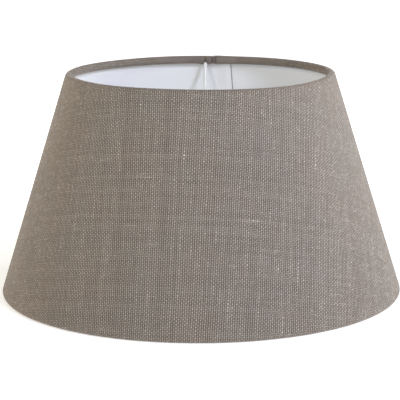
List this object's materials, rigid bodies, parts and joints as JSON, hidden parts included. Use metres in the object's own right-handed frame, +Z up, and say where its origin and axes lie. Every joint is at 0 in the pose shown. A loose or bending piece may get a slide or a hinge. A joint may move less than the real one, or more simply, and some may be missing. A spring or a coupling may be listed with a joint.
{
  "type": "lamp shade",
  "caption": "Tapered hard-back lamp shade of coarse woven cloth on a white liner, rolled over wire rings, with a wire spider, fitter ring and loose reducer ring.",
  "frame": {"origin": "centre of the circle that the bottom hem stands on, at the lowest level of the shade", "axes": "+Z up along the axis of the cone and of the lamp holder, towards the narrow end; +Y towards the first spider arm, beside the lap seam; +X to the right as seen from the front"},
  "size_m": [0.3, 0.3, 0.166],
  "materials": {
    "linen": "coarse plain weave with slubs, matte",
    "liner": "smooth satin white sheet",
    "seam_tape": "double-sided adhesive tape",
    "ring_wire": "drawn steel wire",
    "ring_tape": "self-adhesive tape",
    "coated_wire": "white powder coat, satin",
    "coated_plate": "white powder coat, satin",
    "reducer_plastic": "moulded white plastic, fine matte"
  },
  "bodies": {
    "shade": {"linen_cover": "linen", "pvc_liner": "liner", "seam_tape": "seam_tape", "top_ring": "ring_wire", "bottom_ring": "ring_wire", "top_ring_tape": "ring_tape", "bottom_ring_tape": "ring_tape", "spider_arm_1": "coated_wire", "spider_arm_2": "coated_wire", "spider_arm_3": "coated_wire", "fitter_ring": "coated_plate"},
    "reducer": {"reducer_ring": "reducer_plastic"}
  },
  "joints": [
    {"name": "reducer_lift", "type": "slide", "parent": "shade", "child": "reducer", "axis": [0, 0, 1], "range_m": [0, 0.05]}
  ]
}
